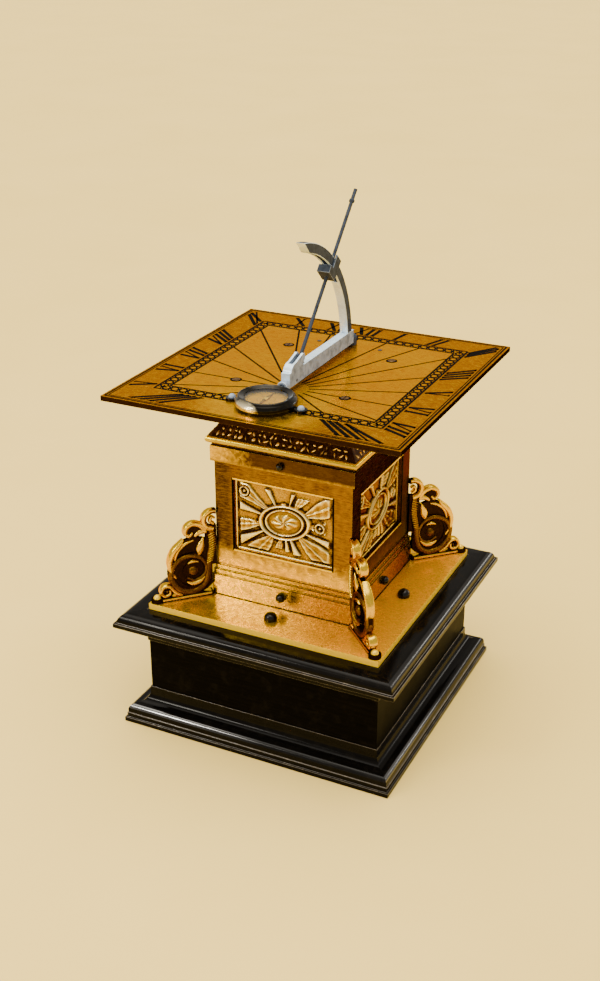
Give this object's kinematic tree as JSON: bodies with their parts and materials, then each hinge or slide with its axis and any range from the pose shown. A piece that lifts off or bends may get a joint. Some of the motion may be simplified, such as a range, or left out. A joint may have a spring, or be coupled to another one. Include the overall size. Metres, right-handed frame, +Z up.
{
  "type": "table sundial",
  "caption": "Square horizontal sundial with a compass and a folding steel gnomon, on a gilt box with scroll brackets and a moulded black plinth.",
  "frame": {"origin": "middle of the plinth's underside, where it stands on the table", "axes": "+Z up; -Y the dial's south side, with the compass; +Y north, the way the style rises; +X east"},
  "size_m": [0.1524, 0.1524, 0.2612],
  "materials": {
    "ebonised_wood": "polished black",
    "inner_wood": "planed, unfinished",
    "gilt_brass": "fire gilt, polished",
    "gilt_relief": "fire gilt, cast and chased",
    "dial_brass": "fire gilt, engraved",
    "dark_bronze": "brown patina, punched",
    "blued_screws": "blued, nearly black",
    "bright_steel": "polished",
    "grey_steel": "filed and greyed",
    "needle_brass": "gilt",
    "dark_brass": "dark lacquer",
    "clear_glass": "clear"
  },
  "bodies": {
    "stand": {"plinth_floor_board": "inner_wood", "plinth_south_board": "ebonised_wood", "plinth_east_board": "ebonised_wood", "plinth_north_board": "ebonised_wood", "plinth_west_board": "ebonised_wood", "plinth_lid_board": "ebonised_wood", "plinth_glue_blocks": "inner_wood", "lower_moulding_south": "ebonised_wood", "lower_moulding_east": "ebonised_wood", "lower_moulding_north": "ebonised_wood", "lower_moulding_west": "ebonised_wood", "upper_moulding_south": "ebonised_wood", "upper_moulding_east": "ebonised_wood", "upper_moulding_north": "ebonised_wood", "upper_moulding_west": "ebonised_wood", "base_plate": "gilt_brass", "base_plate_screws": "blued_screws", "box_floor": "gilt_brass", "box_floor_screws": "blued_screws", "box_south_wall": "gilt_brass", "box_east_wall": "gilt_brass", "box_north_wall": "gilt_brass", "box_west_wall": "gilt_brass", "relief_panel_south": "gilt_relief", "relief_panel_east": "gilt_relief", "relief_panel_north": "gilt_relief", "relief_panel_west": "gilt_relief", "skirt_band": "gilt_brass", "skirt_screws": "blued_screws", "box_top_frame": "dark_bronze", "frieze_band": "gilt_brass", "frieze_screws": "blued_screws", "cornice_moulding": "gilt_brass", "cornice_roof": "dark_bronze", "dial_neck": "dark_bronze", "scroll_bracket_southwest": "gilt_relief", "scroll_bracket_southeast": "gilt_relief", "scroll_bracket_northeast": "gilt_relief", "scroll_bracket_northwest": "gilt_relief", "scroll_screws": "gilt_relief", "dial_plate": "dial_brass", "dial_screws": "blued_screws", "dial_rivets": "blued_screws", "compass_bowl": "dark_brass", "compass_card": "dial_brass", "compass_pivot": "grey_steel", "compass_glass": "clear_glass", "compass_bezel": "dark_brass", "compass_screws": "bright_steel", "south_lug": "bright_steel", "north_lug": "grey_steel", "hinge_pins": "grey_steel"},
    "gnomon": {"gnomon_bar": "bright_steel", "latitude_arc": "bright_steel", "style_pin": "grey_steel"},
    "style": {"style_rod": "grey_steel", "style_clip": "bright_steel"},
    "needle": {"compass_needle": "needle_brass", "needle_hub": "dial_brass"}
  },
  "joints": [
    {"name": "gnomon_fold", "type": "hinge", "parent": "stand", "child": "gnomon", "pos_m": [0, 0.0043, 0.185], "axis": [0, 1, 0], "range_deg": [0, 88]},
    {"name": "style_tilt", "type": "hinge", "parent": "gnomon", "child": "style", "pos_m": [0, -0.025, 0.185], "axis": [1, 0, 0], "range_deg": [-9, 27]},
    {"name": "needle_turn", "type": "hinge", "parent": "stand", "child": "needle", "pos_m": [0, -0.0525, 0.185], "axis": [0, 0, 1], "continuous": true}
  ]
}
